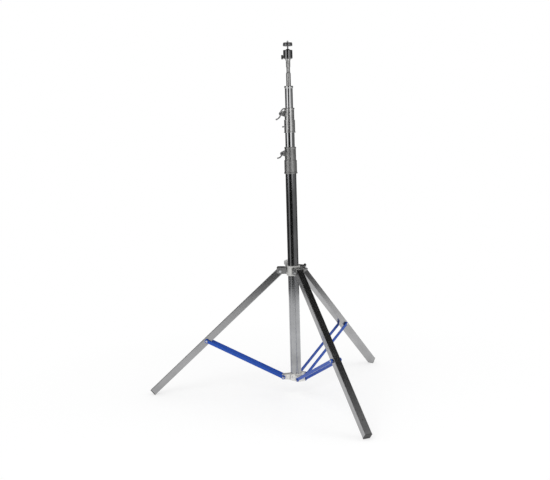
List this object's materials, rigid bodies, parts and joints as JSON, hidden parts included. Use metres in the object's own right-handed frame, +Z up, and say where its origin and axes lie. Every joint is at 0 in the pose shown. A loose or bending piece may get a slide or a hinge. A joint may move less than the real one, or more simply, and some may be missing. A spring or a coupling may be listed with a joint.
{
  "type": "lighting stand",
  "caption": "Telescoping lighting stand with a folding braced three-leg base, two lever clamps and a small ball head with a camera stud.",
  "frame": {"origin": "on the column's axis at the level of the floor that the feet stand on", "axes": "+Z up along the mast, -Y along the front leg; +X completes a right-handed frame"},
  "size_m": [1.0944, 0.9482, 1.4627],
  "materials": {
    "chrome_steel": "polished",
    "satin_steel": "satin",
    "cast_alloy": "satin",
    "zinc_fastener": "zinc plated",
    "leg_finish": "polished plating",
    "brace_blue": "gloss",
    "black_plastic": "matte",
    "black_gloss": "gloss",
    "nylon": "matte",
    "foot_rubber": "matte",
    "grey_knob": "gloss",
    "cork_rubber": "matte"
  },
  "bodies": {
    "column": {"column_tube": "chrome_steel", "column_end_plug": "nylon", "base_collar": "cast_alloy", "base_collar_screws": "zinc_fastener", "base_pivot_bolts": "zinc_fastener", "lower_clamp_collar": "satin_steel", "lower_clamp_liner": "nylon", "lower_clamp_nut": "zinc_fastener"},
    "leg_collar": {"leg_collar_ring": "cast_alloy", "leg_collar_liner": "nylon", "leg_bracket_front": "cast_alloy", "leg_bracket_rear": "cast_alloy", "leg_bracket_left": "cast_alloy", "leg_pivot_bolts": "zinc_fastener", "lock_shelf": "cast_alloy"},
    "collar_knob": {"lock_knob": "grey_knob", "lock_stud": "zinc_fastener"},
    "leg_lock": {"leg_lock_lever": "zinc_fastener", "leg_lock_ball": "black_plastic"},
    "riser_1": {"riser_1_tube": "chrome_steel", "riser_1_guide_bush": "nylon", "upper_clamp_collar": "satin_steel", "upper_clamp_liner": "nylon", "upper_clamp_nut": "zinc_fastener", "upper_clamp_fixing_screw": "zinc_fastener"},
    "riser_2": {"riser_2_tube": "chrome_steel", "riser_2_guide_bush": "nylon", "riser_2_top_cap": "chrome_steel", "spigot_adapter": "satin_steel", "head_base": "chrome_steel"},
    "lower_wing_lever": {"lower_lever": "satin_steel", "lower_lever_screw": "zinc_fastener"},
    "upper_wing_lever": {"upper_lever": "satin_steel", "upper_lever_screw": "zinc_fastener"},
    "head_pan": {"head_housing": "black_gloss", "ball_seat": "nylon"},
    "head_tilt": {"head_ball": "black_gloss", "camera_plate": "black_gloss", "plate_pad": "cork_rubber", "camera_stud": "zinc_fastener"},
    "head_lock": {"head_lock_knob": "black_plastic", "head_lock_screw": "zinc_fastener"},
    "front_leg": {"front_leg_tube": "leg_finish", "front_leg_bush": "nylon", "front_foot_cap": "foot_rubber"},
    "front_brace": {"front_brace_bar_near": "brace_blue", "front_brace_bar_far": "brace_blue", "front_brace_rivets": "zinc_fastener"},
    "rear_leg": {"rear_leg_tube": "leg_finish", "rear_leg_bush": "nylon", "rear_foot_cap": "foot_rubber"},
    "rear_brace": {"rear_brace_bar_near": "brace_blue", "rear_brace_bar_far": "brace_blue", "rear_brace_rivets": "zinc_fastener"},
    "left_leg": {"left_leg_tube": "leg_finish", "left_leg_bush": "nylon", "left_foot_cap": "foot_rubber"},
    "left_brace": {"left_brace_bar_near": "brace_blue", "left_brace_bar_far": "brace_blue", "left_brace_rivets": "zinc_fastener"}
  },
  "joints": [
    {"name": "riser_1_slide", "type": "slide", "parent": "column", "child": "riser_1", "axis": [0, 0, 1], "range_m": [-0.055, 0.72]},
    {"name": "riser_2_slide", "type": "slide", "parent": "riser_1", "child": "riser_2", "axis": [0, 0, 1], "range_m": [-0.055, 0.77]},
    {"name": "leg_fold", "type": "slide", "parent": "column", "child": "leg_collar", "axis": [0, 0, 1], "range_m": [0, 0.33833]},
    {"name": "lower_lever_turn", "type": "hinge", "parent": "column", "child": "lower_wing_lever", "pos_m": [-0.03044, 0.01375, 1.014], "axis": [-0.4115, -0.9114, 0], "range_deg": [-30, 270]},
    {"name": "upper_lever_turn", "type": "hinge", "parent": "riser_1", "child": "upper_wing_lever", "pos_m": [-0.03135, 0.01416, 1.174], "axis": [-0.4115, -0.9114, 0], "range_deg": [-30, 270]},
    {"name": "collar_knob_turn", "type": "hinge", "parent": "leg_collar", "child": "collar_knob", "pos_m": [0, 0.053, 0.56], "axis": [0, 0, 1], "range_deg": [-180, 180]},
    {"name": "leg_lock_turn", "type": "hinge", "parent": "leg_collar", "child": "leg_lock", "pos_m": [0.06025, 0.00245, 0.5316], "axis": [0.5, -0.866, 0], "range_deg": [-25, 60]},
    {"name": "head_pan_turn", "type": "hinge", "parent": "riser_2", "child": "head_pan", "pos_m": [0, 0, 1.4], "axis": [0, 0, 1], "continuous": true},
    {"name": "head_tilt_turn", "type": "hinge", "parent": "head_pan", "child": "head_tilt", "pos_m": [0, 0, 1.418], "axis": [-0.9114, 0.4115, 0], "range_deg": [-38, 90]},
    {"name": "head_lock_turn", "type": "hinge", "parent": "head_pan", "child": "head_lock", "pos_m": [-0.02005, 0.00905, 1.3985], "axis": [-0.9114, 0.4115, 0], "range_deg": [-180, 180]},
    {"name": "front_leg_hinge", "type": "hinge", "parent": "leg_collar", "child": "front_leg", "pos_m": [0, -0.0534, 0.5316], "axis": [1, 0, 0], "range_deg": [0, 45.5]},
    {"name": "front_brace_hinge", "type": "hinge", "parent": "column", "child": "front_brace", "pos_m": [0, -0.0519, 0.0817], "axis": [-1, 0, 0], "range_deg": [0, 61.9]},
    {"name": "rear_leg_hinge", "type": "hinge", "parent": "leg_collar", "child": "rear_leg", "pos_m": [0.04625, 0.0267, 0.5316], "axis": [-0.5, 0.866, 0], "range_deg": [0, 45.5]},
    {"name": "rear_brace_hinge", "type": "hinge", "parent": "column", "child": "rear_brace", "pos_m": [0.04495, 0.02595, 0.0817], "axis": [0.5, -0.866, 0], "range_deg": [0, 61.9]},
    {"name": "left_leg_hinge", "type": "hinge", "parent": "leg_collar", "child": "left_leg", "pos_m": [-0.04625, 0.0267, 0.5316], "axis": [-0.5, -0.866, 0], "range_deg": [0, 45.5]},
    {"name": "left_brace_hinge", "type": "hinge", "parent": "column", "child": "left_brace", "pos_m": [-0.04495, 0.02595, 0.0817], "axis": [0.5, 0.866, 0], "range_deg": [0, 61.9]}
  ],
  "couplings": [
    {"joint": "front_leg_hinge", "follows": "leg_fold", "rad_per_m": 2.3214},
    {"joint": "front_brace_hinge", "follows": "leg_fold", "rad_per_m": 3.1672},
    {"joint": "rear_leg_hinge", "follows": "leg_fold", "rad_per_m": 2.3214},
    {"joint": "rear_brace_hinge", "follows": "leg_fold", "rad_per_m": 3.1672},
    {"joint": "left_leg_hinge", "follows": "leg_fold", "rad_per_m": 2.3214},
    {"joint": "left_brace_hinge", "follows": "leg_fold", "rad_per_m": 3.1672}
  ]
}
